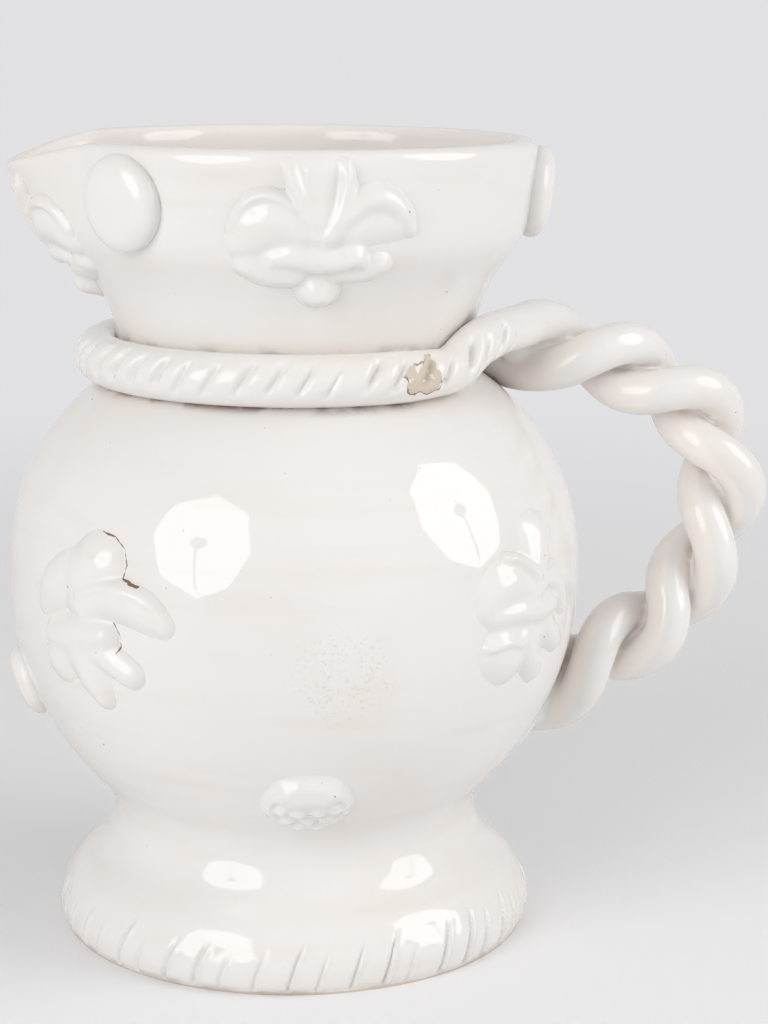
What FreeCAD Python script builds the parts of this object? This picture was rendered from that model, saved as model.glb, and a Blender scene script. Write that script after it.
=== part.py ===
"""White-glazed footed pitcher with a pinched spout and a twisted handle.

The potter throws the foot, the globe and the mouth apart and lutes them together. A roll of clay
is wound round the join, and its two ends are twisted into the handle. Small ornaments pressed in
moulds are stuck on last: fleurs, discs and raspberries.

Lengths are in millimetres. The origin is on the ground, at the middle of the foot. +Z is up, the
handle points along +X and the spout along -X.
"""
import FreeCAD, Part
import math
import os

from FreeCAD import Placement, Rotation, Vector

os.makedirs("parts", exist_ok=True)

# Overall
overrun = 10.0

# Foot: a flare that leans in by an angle and turns into the globe in a round waist
waist_radius = 57.8
waist_round = 10.0
foot_lean = 39.4
foot_flare = 17.6
foot_edge_bulge = 2.2
foot_edge_tuck = 2.6
foot_hollow_inset = 11.8
foot_shoulder_height = 14.0
foot_shoulder_radius = waist_radius + foot_flare
foot_widest_radius = foot_shoulder_radius + foot_edge_bulge
foot_ground_radius = foot_widest_radius - foot_edge_tuck
foot_hollow_radius = waist_radius - foot_hollow_inset
foot_ring_width = 9.0
notch_count = 48
notch_height = 13.5
notch_width = 2.4
notch_depth = 1.9
notch_lean = -8.0

# Globe: half a ball below, a short upright belt, and a tighter shoulder above
belly_radius = 91.8
belt_rise = 6.0
shoulder_round = 70.5
belly_wall = 5.5
shoulder_middle_radius = belly_radius - shoulder_round

# The waist's round touches both the flare and the globe, and that sets the globe's height
waist_middle_radius = waist_radius + waist_round
waist_aside = math.cos(math.radians(foot_lean)) * (waist_middle_radius - foot_shoulder_radius)
waist_height = foot_shoulder_height + (waist_round - waist_aside) / math.sin(math.radians(foot_lean))
waist_reach = belly_radius + waist_round
belt_low_height = waist_height + math.sqrt(waist_reach ** 2 - waist_middle_radius ** 2)
belt_high_height = belt_low_height + belt_rise

# Mouth: it stands where the shoulder has narrowed to the radius of its base
neck_base_radius = 56.65
neck_base_aside = neck_base_radius - shoulder_middle_radius
neck_base_height = belt_high_height + math.sqrt(shoulder_round ** 2 - neck_base_aside ** 2)
mouth_rise = 73.0
throat_rise_share = 0.247
cove_rise_share = 0.397
corner_rise_share = 0.603
throat_flare = 1.65
cove_flare = 4.1
corner_flare = 15.5
rim_flare = 2.7
rim_height = neck_base_height + mouth_rise
throat_height = neck_base_height + mouth_rise * throat_rise_share
throat_radius = neck_base_radius + throat_flare
throat_hollow = 0.7
cove_height = neck_base_height + mouth_rise * cove_rise_share
cove_radius = throat_radius + cove_flare
corner_height = neck_base_height + mouth_rise * corner_rise_share
corner_radius = throat_radius + corner_flare
corner_round = 5.0
rim_radius = corner_radius + rim_flare
neck_wall = 5.6
cove_wall_share = 0.95
rim_thickness = 6.6
spout_reach = 15.0
spout_droop = 7.5
spout_half_angle = 34.0
spout_curl = 1.5
spout_sections = 8

# The inside of the corner: shares of its round inwards and upwards
inner_turn_shares = ((0.0, 1.6), (0.22, 0.6), (0.8, -0.4))

# Rope collar and twisted handle
rope_radius = 7.9
rope_sink = 1.2
rope_overlap = 2.55
rope_ring_radius = neck_base_radius + rope_radius - rope_overlap
rope_reach = shoulder_round + rope_radius - rope_sink
rope_aside = rope_ring_radius - shoulder_middle_radius
rope_height = belt_high_height + math.sqrt(rope_reach ** 2 - rope_aside ** 2)
rope_front_end_angle = -50.0
rope_back_end_angle = 35.0
strand_radius = 7.2
strand_gap = 0.7
handle_room = 48.9
handle_run_out = 10.6
handle_lift = 1.2
handle_root_share = 0.588
handle_start_radius = rope_ring_radius + handle_run_out
handle_start_height = rope_height + handle_lift
handle_root_height = belt_low_height - belly_radius * handle_root_share
handle_reach = belly_radius + handle_room - handle_start_radius
handle_drop = handle_start_height - handle_root_height
handle_turns = 3.6
handle_first_turn_share = 0.1
handle_run_in_share = 0.05
small_share = 0.002

# The strands' ways from the collar's ends to the handle: shares of a strand's radius outwards
# and upwards, and of the end's angle
run_in_front_shares = ((0.2, 1.0, 0.6), (0.8, 1.2, 0.3))
run_in_back_shares = ((0.3, -0.7, 0.5),)

# The handle's middle line from the collar to its root: outward and downward shares
handle_route_shares = (
    (0.0, 0.0),
    (0.192, 0.004),
    (0.41, 0.031),
    (0.579, 0.07),
    (0.775, 0.126),
    (0.927, 0.213),
    (1.0, 0.345),
    (0.984, 0.463),
    (0.9, 0.568),
    (0.81, 0.668),
    (0.692, 0.737),
    (0.521, 0.78),
    (0.327, 0.845),
    (0.16, 0.91),
    (-0.22, 0.99),
)

# Ornaments
disc_radius = 14.0
disc_height = 5.0
disc_edge_round = 2.0
belly_disc_radius = 11.5
belly_disc_height = 3.6
fleur_rise_share = 0.63
fleur_width = 55.0
fleur_rise = mouth_rise * fleur_rise_share
fleur_relief = 4.6
belly_fleur_width = 53.0
belly_fleur_rise = 53.0
belly_fleur_relief = 4.8
raspberry_width = 29.0
raspberry_rise = 21.0
raspberry_relief = 4.0
bead_radius = 3.0
climb_step = 0.5
tail_relief_share = 0.35
neck_disc_place_share = 0.767
neck_fleur_place_share = 0.644
belly_disc_place_share = 0.37
raspberry_lift = 21.4
neck_disc_place_height = neck_base_height + mouth_rise * neck_disc_place_share
neck_fleur_place_height = neck_base_height + mouth_rise * neck_fleur_place_share
belly_fleur_place_height = belt_low_height + belt_rise / 3
belly_disc_place_height = belt_low_height - belly_radius * belly_disc_place_share
raspberry_place_height = waist_height + raspberry_lift

# Where the ornaments sit round the pitcher
neck_fleur_angles = {"front": -89.0, "spout": 180.0, "back": 89.0}
neck_disc_angles = {"front": -137.0, "back": 137.0, "handle": -6.0}
belly_fleur_angles = {"front_left": -135.0, "front_right": -46.0, "back_left": 135.0, "back_right": 46.0}
raspberry_angles = {"front": -92.0, "back": 92.0}
belly_disc_angle = 180.0

# Lobes of a mouth fleur: across, up, length, width and turn from upright in degrees.
# The round end leads, and the tail lies towards the middle.
neck_fleur_lobe_shares = (
    (-0.02, 0.27, 0.6, 0.33, 0.0),
    (-0.26, 0.1, 0.56, 0.34, -72.0),
    (0.17, 0.13, 0.54, 0.23, 45.0),
    (0.38, 0.12, 0.4, 0.21, 145.0),
    (0.0, -0.13, 0.56, 0.17, 90.0),
    (-0.24, -0.25, 0.46, 0.19, -108.0),
    (0.23, -0.22, 0.42, 0.17, 106.0),
    (0.0, -0.35, 0.38, 0.23, 180.0),
)

# Lobes of a globe fleur, in the same order
belly_fleur_lobe_shares = (
    (0.02, 0.3, 0.54, 0.38, 4.0),
    (-0.24, 0.08, 0.54, 0.27, -70.0),
    (-0.42, 0.0, 0.36, 0.23, -152.0),
    (0.22, 0.08, 0.54, 0.27, 70.0),
    (0.42, 0.0, 0.36, 0.22, 150.0),
    (-0.02, -0.1, 0.54, 0.19, 90.0),
    (-0.25, -0.26, 0.42, 0.23, -145.0),
    (0.24, -0.28, 0.44, 0.21, 134.0),
    (0.0, -0.34, 0.46, 0.22, 180.0),
)

# Beads of a raspberry: across and up
bead_shares = (
    (-0.3, 0.22), (-0.1, 0.28), (0.1, 0.28), (0.3, 0.22),
    (-0.38, 0.0), (-0.19, 0.0), (0.0, 0.0), (0.19, 0.0), (0.38, 0.0),
    (-0.28, -0.22), (-0.09, -0.28), (0.1, -0.28), (0.29, -0.22),
)


def save(name, shape):
    """Write one sub-part and print its solids and volume."""
    shape.exportStep("parts/" + name + ".step")
    print(name, len(shape.Solids), "solid", round(shape.Volume), "mm3", "valid", shape.isValid())


def at(radius, height, degrees=0.0):
    """A point from its distance to the axis, its height and its angle round the axis."""
    angle = math.radians(degrees)
    return Vector(radius * math.cos(angle), radius * math.sin(angle), height)


def line(start, end):
    return Part.LineSegment(start, end).toShape()


def arc(start, middle, end):
    return Part.Arc(start, middle, end).toShape()


def spin(edges, degrees=360.0, start_degrees=0.0):
    """Turn a closed outline round the pitcher's axis."""
    face = Part.Face(Part.Wire(edges))
    solid = face.revolve(Vector(0, 0, 0), Vector(0, 0, 1), degrees)
    solid.rotate(Vector(0, 0, 0), Vector(0, 0, 1), start_degrees)
    return solid


def shoulder_radius_at(height):
    """The radius of the shoulder's outer curve at a height."""
    return shoulder_middle_radius + math.sqrt(shoulder_round ** 2 - (height - belt_high_height) ** 2)


def shoulder_height_at(radius, inset):
    """The height of the shoulder's curve, moved inwards by a wall, at a radius."""
    round_radius = shoulder_round - inset
    return belt_high_height + math.sqrt(round_radius ** 2 - (radius - shoulder_middle_radius) ** 2)


def belly_edges(inset, top):
    """The globe's curve from its lowest point to a top one, moved inwards by a wall."""
    ball_radius = belly_radius - inset
    half_way = math.sin(math.pi / 4) * ball_radius
    low = Vector(0, 0, belt_low_height - ball_radius)
    flank = Vector(half_way, 0, belt_low_height - half_way)
    belt_low = Vector(ball_radius, 0, belt_low_height)
    belt_high = Vector(ball_radius, 0, belt_high_height)
    middle_radius = (ball_radius + top.x) / 2
    middle = Vector(middle_radius, 0, shoulder_height_at(middle_radius, inset))
    return [arc(low, flank, belt_low), line(belt_low, belt_high), arc(belt_high, middle, top)]


def belly_lump_edges():
    """The globe's outside closed along the axis, as a full lump."""
    top = at(shoulder_radius_at(neck_base_height), neck_base_height)
    low = at(0, belt_low_height - belly_radius)
    top_of_axis = at(0, neck_base_height)
    return belly_edges(0, top) + [line(top, top_of_axis), line(top_of_axis, low)]


def make_belly():
    """The thrown globe, open at the top as wide as the mouth that stands on it."""
    top = at(shoulder_radius_at(neck_base_height), neck_base_height)
    hole_top = top - at(neck_wall, 0)
    hole_low = at(hole_top.x, shoulder_height_at(hole_top.x, belly_wall))
    inside_low = at(0, belt_low_height - belly_radius + belly_wall)
    outside_low = at(0, belt_low_height - belly_radius)
    inner = belly_edges(belly_wall, hole_low)[::-1]
    closing = [line(top, hole_top), line(hole_top, hole_low)]
    return spin(belly_edges(0, top) + closing + inner + [line(inside_low, outside_low)])


def belly_radius_at(height):
    if height > belt_high_height:
        return shoulder_radius_at(height)
    below = max(0.0, belt_low_height - height)
    return math.sqrt(belly_radius ** 2 - below ** 2)


def make_foot(lump):
    """The thrown foot: a flared ring with tool notches pressed round its edge."""
    lean = math.radians(foot_lean)
    middle = at(waist_middle_radius, waist_height)
    ground = at(foot_ground_radius, 0)
    widest = at(foot_widest_radius, foot_shoulder_height / 2)
    shoulder = at(foot_shoulder_radius, foot_shoulder_height)
    flare_top = middle - at(math.cos(lean), math.sin(lean)) * waist_round
    waist = at(waist_radius, waist_height)
    globe_middle = at(0, belt_low_height)
    seat = globe_middle + (middle - globe_middle).normalize() * belly_radius
    hollow_top = at(foot_hollow_radius, seat.z)
    hollow_edge = at(foot_ground_radius - foot_ring_width, 0)
    ring = spin([
        arc(ground, widest, shoulder),
        line(shoulder, flare_top),
        arc(flare_top, waist, seat),
        line(seat, hollow_top),
        line(hollow_top, hollow_edge),
        line(hollow_edge, ground),
    ])
    return ring.cut(lump).cut(foot_notches())


def foot_notches():
    """A ring of slanting three-sided bars that press the notches."""
    inner = foot_widest_radius - notch_depth
    outer = foot_widest_radius + overrun
    spread = notch_width / 2 * (outer - inner) / notch_depth
    corners = [Vector(inner, 0, 0), Vector(outer, spread, 0), Vector(outer, -spread, 0)]
    outline = Part.makePolygon(corners + corners[:1])
    bar = Part.Face(outline).extrude(Vector(0, 0, notch_height + overrun))
    bar.translate(Vector(0, 0, -overrun))
    bar.rotate(Vector(foot_widest_radius, 0, 0), Vector(1, 0, 0), notch_lean)
    bars = []
    for step in range(notch_count):
        copy = bar.copy()
        copy.rotate(Vector(0, 0, 0), Vector(0, 0, 1), 360.0 * step / notch_count)
        bars.append(copy)
    return bars


def spout_share(degrees):
    """How far the wall is pulled out at an angle: 1 at the spout's middle, 0 beside it."""
    away = abs((degrees % 360.0) - 180.0)
    if away >= spout_half_angle:
        return 0.0
    return 0.5 + 0.5 * math.cos(math.pi * away / spout_half_angle)


def pulled(radius, height, degrees):
    """A point of the mouth's wall, pulled outwards and down where the spout is pinched."""
    rise = max(0.0, (height - throat_height) / (rim_height - throat_height))
    share = spout_share(degrees)
    outwards = spout_reach * share * rise ** spout_curl
    down = spout_droop * share * rise ** 2
    return at(radius + outwards, height - down, degrees)


def neck_outline(degrees):
    """The closed wall outline of the mouth in the half-plane at an angle."""
    def point(radius, height):
        return pulled(radius, height, degrees)

    base_radius = neck_base_radius
    half_rim = rim_thickness / 2
    rim_side = rim_height - half_rim
    inner_corner = corner_radius - neck_wall
    inner_cove = cove_radius - neck_wall * cove_wall_share
    hollow_radius = (base_radius + throat_radius) / 2 - throat_hollow
    hollow_height = (neck_base_height + throat_height) / 2
    outer_side = [
        point(base_radius, neck_base_height),
        point(hollow_radius, hollow_height),
        point(throat_radius, throat_height),
    ]
    outer_flare = [
        point(throat_radius, throat_height),
        point(cove_radius, cove_height),
        point(corner_radius - corner_round, corner_height - corner_round),
    ]
    outer_turn = [
        point(corner_radius - corner_round, corner_height - corner_round),
        point(corner_radius - corner_round / 4, corner_height),
        point(corner_radius, corner_height + corner_round),
    ]
    rim = [
        point(rim_radius, rim_side),
        point(rim_radius - half_rim, rim_height),
        point(rim_radius - rim_thickness, rim_side),
    ]
    inner_turn = []
    for inward, upward in inner_turn_shares:
        inner_turn.append(point(inner_corner - corner_round * inward, corner_height + corner_round * upward))
    inner_flare = [
        inner_turn[-1],
        point(inner_cove, cove_height + corner_round / 2),
        point(throat_radius - neck_wall, throat_height),
    ]
    inner_side = [
        point(throat_radius - neck_wall, throat_height),
        point(hollow_radius - neck_wall, hollow_height),
        point(base_radius - neck_wall, neck_base_height),
    ]
    return Part.Wire([
        arc(*outer_side),
        arc(*outer_flare),
        arc(*outer_turn),
        line(outer_turn[-1], rim[0]),
        arc(*rim),
        line(rim[-1], inner_turn[0]),
        arc(*inner_turn),
        arc(*inner_flare),
        arc(*inner_side),
        line(inner_side[-1], outer_side[0]),
    ])


def neck_radius_at(height, degrees=0.0):
    """The mouth's outer radius, for what is stuck on it."""
    if height < cove_height:
        share = (height - throat_height) / (cove_height - throat_height)
        radius = throat_radius + (cove_radius - throat_radius) * share
    elif height < corner_height:
        share = (height - cove_height) / (corner_height - cove_height)
        radius = cove_radius + (corner_radius - cove_radius) * share
    else:
        share = (height - corner_height) / (rim_height - corner_height)
        radius = corner_radius + (rim_radius - corner_radius) * share
    reached = pulled(radius, height, degrees)
    return math.hypot(reached.x, reached.y)


def make_neck():
    """The thrown mouth, with its spout drawn out of the round by a loft."""
    first = 180.0 - spout_half_angle
    last = 180.0 + spout_half_angle
    round_part = spin(neck_outline(0).Edges, 360.0 - 2 * spout_half_angle, last)
    sections = []
    for step in range(spout_sections + 1):
        sections.append(neck_outline(first + (last - first) * step / spout_sections))
    spout = Part.makeLoft(sections, True, False)
    return round_part.fuse(spout)


def make_rope():
    """The roll of clay round the join, from the handle's front strand round to its back one."""
    section = Part.makeCircle(rope_radius, at(rope_ring_radius, rope_height), Vector(0, 1, 0))
    roll = Part.Face(Part.Wire(section))
    for wall in (belly_lump_edges(), neck_outline(0).Edges):
        roll = roll.cut(Part.Face(Part.Wire(wall)))
    turn = 360.0 - (rope_back_end_angle - rope_front_end_angle)
    ring = roll.Faces[0].revolve(Vector(0, 0, 0), Vector(0, 0, 1), turn)
    ring.rotate(Vector(0, 0, 0), Vector(0, 0, 1), rope_back_end_angle)
    return ring


def handle_route():
    """The handle's middle line, a smooth curve in the plane of the handle."""
    points = []
    for outward, down in handle_route_shares:
        points.append(Vector(handle_start_radius + outward * handle_reach, 0,
                             handle_start_height - down * handle_drop))
    curve = Part.BSplineCurve()
    curve.interpolate(points)
    return curve


def strand_point(curve, share, lead):
    """A point of one strand at a share of the handle's length. lead is 0 or half a turn."""
    length = curve.length()
    parameter = curve.parameterAtDistance(share * length, curve.FirstParameter)
    middle = curve.value(parameter)
    along = Vector(*curve.tangent(parameter)[0])
    outward = Vector(0, -1, 0).cross(along)
    turn = math.pi / 2 + lead - 2 * math.pi * handle_turns * (share - handle_first_turn_share)
    offset = strand_radius + strand_gap / 2
    return middle + outward * (offset * math.cos(turn)) + Vector(0, -1, 0) * (offset * math.sin(turn))


def strand_stations(curve, lead, way):
    """Points and directions along a strand: its way from the collar, then each quarter turn."""
    wound = []
    directions = []
    wound_share = 1 - handle_run_in_share
    quarters = round(wound_share * handle_turns * 4)
    for number in range(quarters + 1):
        share = handle_run_in_share + wound_share * number / quarters
        before = strand_point(curve, share - small_share, lead)
        wound.append(strand_point(curve, share, lead))
        directions.append((wound[-1] - before).normalize())
    points = way + wound
    for number in range(len(way) - 1, 0, -1):
        directions.insert(0, (points[number + 1] - points[number - 1]).normalize())
    return points, directions


def bulge(start, direction, end):
    """The middle point of the arc that leaves a point in a direction and ends at another."""
    chord = end - start
    unit = Vector(chord).normalize()
    aside = (direction - unit * direction.dot(unit)).normalize()
    half_turn = direction.getAngle(chord) / 2
    return (start + end) / 2 + aside * (chord.Length / 2 * math.tan(half_turn))


def biarc(start, start_direction, end, end_direction):
    """Two arcs that join two points and keep the direction at each."""
    chord = end - start
    both = start_direction + end_direction
    unlike = 2 * (1 - start_direction.dot(end_direction))
    root = math.sqrt(chord.dot(both) ** 2 + unlike * chord.dot(chord))
    reach = chord.dot(chord) / (chord.dot(both) + root)
    joint = (start + start_direction * reach + end - end_direction * reach) / 2
    first_middle = bulge(start, start_direction, joint)
    second_middle = bulge(end, end_direction * -1, joint)
    return [arc(start, first_middle, joint), arc(joint, second_middle, end)]


def strand_arcs(curve, lead, way, first_direction):
    """Arcs through a strand's stations that keep its direction at each."""
    points, directions = strand_stations(curve, lead, way)
    directions.insert(0, first_direction)
    arcs = []
    for number in range(len(points) - 1):
        arcs += biarc(points[number], directions[number], points[number + 1], directions[number + 1])
    return arcs


def make_strand(arcs, lump, others):
    """One unbroken roll of clay, with its root cut to the globe."""
    path = Part.Wire(arcs)
    start = arcs[0].valueAt(arcs[0].FirstParameter)
    direction = arcs[0].tangentAt(arcs[0].FirstParameter)
    section = Part.Wire(Part.makeCircle(strand_radius, start, direction))
    tube = path.makePipeShell([section], True, False)
    for other in [lump] + others:
        tube = tube.cut(other)
    return max(tube.Solids, key=lambda solid: solid.Volume)


def points_along(arcs):
    """Points on a strand's arcs, about a millimetre apart."""
    points = []
    for piece in arcs:
        points += piece.discretize(max(3, int(piece.Length)))
    return points


def report_strands(name, arcs):
    """Print a strand's length and the tightest of its arcs."""
    length = sum(piece.Length for piece in arcs)
    tightest = min(piece.Curve.Radius for piece in arcs)
    print(name, "length", round(length, 1), "tightest arc", round(tightest, 1))


def report_gap(one, other):
    """Print the least gap between the two strands, measured on points."""
    least = min(a.distanceToPoint(b) for a in one for b in other)
    print("least gap between the strands", round(least - 2 * strand_radius, 2))


def surface_place(radius_at, height, degrees):
    """The point of a thrown wall and its outward normal."""
    slope = (radius_at(height + climb_step) - radius_at(height - climb_step)) / (2 * climb_step)
    normal = at(1, -slope, degrees).normalize()
    return at(radius_at(height), height, degrees), normal


def seat(shape, radius_at, height, degrees, turn=0.0):
    """Move a piece made flat at the origin onto a thrown wall, turned in its own plane."""
    point, normal = surface_place(radius_at, height, degrees)
    placed = shape.copy()
    placed.rotate(Vector(0, 0, 0), Vector(0, 0, 1), turn)
    across = Vector(0, 0, 1).cross(normal).normalize()
    up = normal.cross(across)
    placed.Placement = Placement(point, Rotation(across, up, normal, "ZXY")).multiply(placed.Placement)
    return placed


def largest(shape):
    return max(shape.Solids, key=lambda solid: solid.Volume)


def climb(radius_at, height, distance):
    """The height reached by going a distance up along a thrown wall."""
    step = math.copysign(climb_step, distance)
    for _ in range(round(abs(distance) / climb_step)):
        slope = (radius_at(height + step) - radius_at(height)) / step
        height += step / math.sqrt(1 + slope ** 2)
    return height


def make_lobe(length, width, relief):
    """A petal with a round head and a narrower, lower tail, turned about its long axis."""
    head_radius = (width ** 2 / 4 + relief ** 2) / (2 * relief)
    sunk = head_radius - relief
    tail_radius = sunk + relief * tail_relief_share
    tail_half_width = math.sqrt(tail_radius ** 2 - sunk ** 2)
    head = Vector(0, length / 2 - width / 2, -sunk)
    tail = Vector(0, tail_half_width - length / 2, -sunk)
    lean = math.asin((head_radius - tail_radius) / (head.y - tail.y))
    crown = head + Vector(0, head_radius, 0)
    end = tail - Vector(0, tail_radius, 0)
    head_side = head + round_point(head_radius, -lean)
    tail_side = tail + round_point(tail_radius, -lean)
    outline = Part.Wire([
        line(end, crown),
        arc(crown, head + round_point(head_radius, (math.pi / 2 - lean) / 2), head_side),
        line(head_side, tail_side),
        arc(tail_side, tail + round_point(tail_radius, -(math.pi / 2 + lean) / 2), end),
    ])
    body = Part.Face(outline).revolve(head, Vector(0, 1, 0), 360)
    block = Part.makeBox(length * 2, length * 2, sunk + relief, Vector(-length, -length, -belly_wall / 2))
    return body.common(block)


def round_point(radius, angle):
    """A point of a circle in the ornament's own plane, by its angle from the side."""
    return Vector(radius * math.cos(angle), radius * math.sin(angle), 0)


def make_fleur(lobe_shares, width, rise, relief, radius_at, height, degrees, wall):
    """A fleur of pressed clay, laid lobe by lobe on the wall and cut to seat on it."""
    lobes = []
    for across, up, length, breadth, turn in lobe_shares:
        lobe = make_lobe(length * rise, breadth * width, relief)
        lobe_height = climb(radius_at, height, up * rise)
        lobe_degrees = degrees + math.degrees(across * width / radius_at(lobe_height))
        lobes.append(seat(lobe, radius_at, lobe_height, lobe_degrees, -turn))
    return largest(lobes[0].fuse(lobes[1:]).cut(wall))


def make_neck_fleur(degrees, neck):
    def radius_at(height):
        return neck_radius_at(height, degrees)

    return make_fleur(neck_fleur_lobe_shares, fleur_width, fleur_rise, fleur_relief,
                      radius_at, neck_fleur_place_height, degrees, neck)


def make_belly_fleur(degrees, belly):
    return make_fleur(belly_fleur_lobe_shares, belly_fleur_width, belly_fleur_rise, belly_fleur_relief,
                      belly_radius_at, belly_fleur_place_height, degrees, belly)


def make_neck_disc(degrees, neck):
    return make_disc(disc_radius, disc_height, neck_radius_at, neck_disc_place_height, degrees, neck)


def make_belly_disc(belly):
    return make_disc(belly_disc_radius, belly_disc_height, belly_radius_at, belly_disc_place_height,
                     belly_disc_angle, belly)


def make_disc(radius, thickness, radius_at, height, degrees, wall):
    """A flat button of clay with a rounded edge."""
    sunk = belly_wall / 2
    disc = Part.makeCylinder(radius, thickness + sunk, Vector(0, 0, -sunk))
    front = [edge for edge in disc.Edges if edge.BoundBox.ZMin > thickness / 2]
    disc = disc.makeFillet(disc_edge_round, front)
    return largest(seat(disc, radius_at, height, degrees).cut(wall))


def make_raspberry(degrees, wall):
    """An oval pad of clay covered with small beads."""
    pad = make_lobe(raspberry_width, raspberry_rise, raspberry_relief)
    whole = [seat(pad, belly_radius_at, raspberry_place_height, degrees, 90)]
    girth_radius = belly_radius_at(raspberry_place_height)
    for across, up in bead_shares:
        bead = Part.makeSphere(bead_radius, Vector(0, 0, raspberry_relief - bead_radius / 2))
        height = climb(belly_radius_at, raspberry_place_height, up * raspberry_rise)
        bead_degrees = degrees + math.degrees(across * raspberry_width / girth_radius)
        whole.append(seat(bead, belly_radius_at, height, bead_degrees))
    return largest(whole[0].fuse(whole[1:]).cut(wall))


def run_in(end_angle, shares):
    """A strand's way from an end of the collar to the top of the handle."""
    points = [at(rope_ring_radius, rope_height, end_angle)]
    for outward, upward, turned in shares:
        points.append(at(rope_ring_radius + strand_radius * outward,
                         rope_height + strand_radius * upward, end_angle * turned))
    return points


def rope_direction(degrees, sense):
    """The rope's direction at an angle; sense is 1 counter-clockwise and -1 clockwise."""
    return at(1, 0, degrees + 90 * sense)


def make_strands(lump, neck):
    curve = handle_route()
    front_way = run_in(rope_front_end_angle, run_in_front_shares)
    back_way = run_in(rope_back_end_angle, run_in_back_shares)
    front = strand_arcs(curve, math.pi, front_way, rope_direction(rope_front_end_angle, 1))
    back = strand_arcs(curve, 0, back_way, rope_direction(rope_back_end_angle, -1))
    report_strands("front strand", front)
    report_strands("back strand", back)
    report_gap(points_along(front), points_along(back))
    return make_strand(front, lump, [neck]), make_strand(back, lump, [neck])


def main():
    lump = spin(belly_lump_edges())
    belly = make_belly()
    neck = make_neck()
    save("belly", belly)
    save("neck", neck)
    save("foot", make_foot(lump))
    save("neck_rope", make_rope())
    front, back = make_strands(lump, neck)
    save("handle_strand_front", front)
    save("handle_strand_back", back)
    for name, degrees in neck_fleur_angles.items():
        save("neck_fleur_" + name, make_neck_fleur(degrees, neck))
    for name, degrees in neck_disc_angles.items():
        save("neck_disc_" + name, make_neck_disc(degrees, neck))
    for name, degrees in belly_fleur_angles.items():
        save("belly_fleur_" + name, make_belly_fleur(degrees, belly))
    for name, degrees in raspberry_angles.items():
        save("raspberry_" + name, make_raspberry(degrees, belly))
    save("belly_disc_spout", make_belly_disc(belly))


main()
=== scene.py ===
# %% [markdown]
# # A white-glazed pitcher with a twisted handle
#
# This lesson dresses a imported CAD model of a footed pitcher as the glazed pot that it is: thrown
# walls that are not quite round, rolls of clay pressed together, small moulded ornaments under a
# thick white tin glaze. The model comes first, as a fixed frame that every piece is built on.

# %% Load the frame and bake each part's place into its mesh
import bpy
import math
import numpy as np
from mathutils import Matrix, Vector, noise


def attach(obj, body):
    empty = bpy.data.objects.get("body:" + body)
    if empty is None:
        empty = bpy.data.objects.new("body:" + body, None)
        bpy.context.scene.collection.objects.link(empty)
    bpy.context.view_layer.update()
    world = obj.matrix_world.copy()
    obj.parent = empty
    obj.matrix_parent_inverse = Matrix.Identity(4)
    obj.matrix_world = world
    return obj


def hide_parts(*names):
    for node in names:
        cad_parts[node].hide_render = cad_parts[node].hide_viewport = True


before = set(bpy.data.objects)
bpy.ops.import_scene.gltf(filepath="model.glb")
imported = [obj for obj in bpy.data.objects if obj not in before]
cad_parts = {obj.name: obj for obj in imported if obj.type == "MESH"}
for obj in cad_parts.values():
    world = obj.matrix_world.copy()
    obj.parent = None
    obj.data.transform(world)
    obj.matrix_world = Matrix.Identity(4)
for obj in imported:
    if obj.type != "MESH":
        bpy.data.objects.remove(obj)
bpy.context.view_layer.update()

MM = 0.001

# %% [markdown]
# ## The camera
#
# The pitcher is seen from a little above, with the handle leaning five degrees away and the whole
# pot left of the middle of the picture. A long lens keeps the foot and the mouth nearly level.

# %% Camera
CAMERA_PLACE = Vector((-66.3, -764.4, 296.4)) * MM
CAMERA_DOWN = math.radians(11.92)
CAMERA_RIGHT = math.radians(7.104)
CAMERA_ROLL = math.radians(0.447)
CAMERA_LENS = 85.34

scene = bpy.context.scene
camera_data = bpy.data.cameras.new("camera")
camera = bpy.data.objects.new("camera", camera_data)
scene.collection.objects.link(camera)
camera_data.lens = CAMERA_LENS
camera_data.sensor_width = 36
camera_data.clip_start = 0.01
turn = Matrix.Rotation(-CAMERA_RIGHT, 4, "Z") @ Matrix.Rotation(math.pi / 2 - CAMERA_DOWN, 4, "X")
camera.matrix_world = Matrix.Translation(CAMERA_PLACE) @ turn @ Matrix.Rotation(CAMERA_ROLL, 4, "Z")
scene.camera = camera
scene.view_settings.view_transform = "Standard"
print("Camera at", [round(value, 4) for value in camera.location])

# %% [markdown]
# ## Tools of the trade
#
# A pot is a line turned round an axis. The line can be drawn in Blender by pulling one vertex from
# point to point, and the Spin operator turns it. These helpers do that, and the few other things
# that every piece needs.

# %% Helpers for drawing and spinning
def deselect():
    bpy.ops.object.select_all(action="DESELECT")


def start_edit():
    """Enter edit mode with everything of the active piece selected."""
    bpy.ops.object.mode_set(mode="EDIT")
    bpy.ops.mesh.select_all(action="SELECT")


def end_edit(name):
    """Leave edit mode, name the piece and give it."""
    bpy.ops.object.mode_set(mode="OBJECT")
    bpy.context.object.name = name
    return bpy.context.object


def half_section(pairs):
    """Places in a plane through the axis, from pairs of radius and height."""
    return [Vector((radius, 0, height)) for radius, height in pairs]


def draw_line(points):
    """Pull one vertex along a list of points in millimetres. Edit mode stays on."""
    deselect()
    bpy.ops.mesh.primitive_plane_add(size=MM)
    start_edit()
    bpy.ops.mesh.merge(type="CENTER")
    bpy.ops.transform.translate(value=points[0] * MM)
    for before, after in zip(points, points[1:]):
        bpy.ops.mesh.extrude_region_move(TRANSFORM_OT_translate={"value": (after - before) * MM})
    bpy.ops.mesh.select_all(action="SELECT")


def turn_outwards():
    """Turn every face of the piece in edit mode outwards."""
    bpy.ops.mesh.select_all(action="SELECT")
    bpy.ops.mesh.normals_make_consistent(inside=False)


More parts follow.
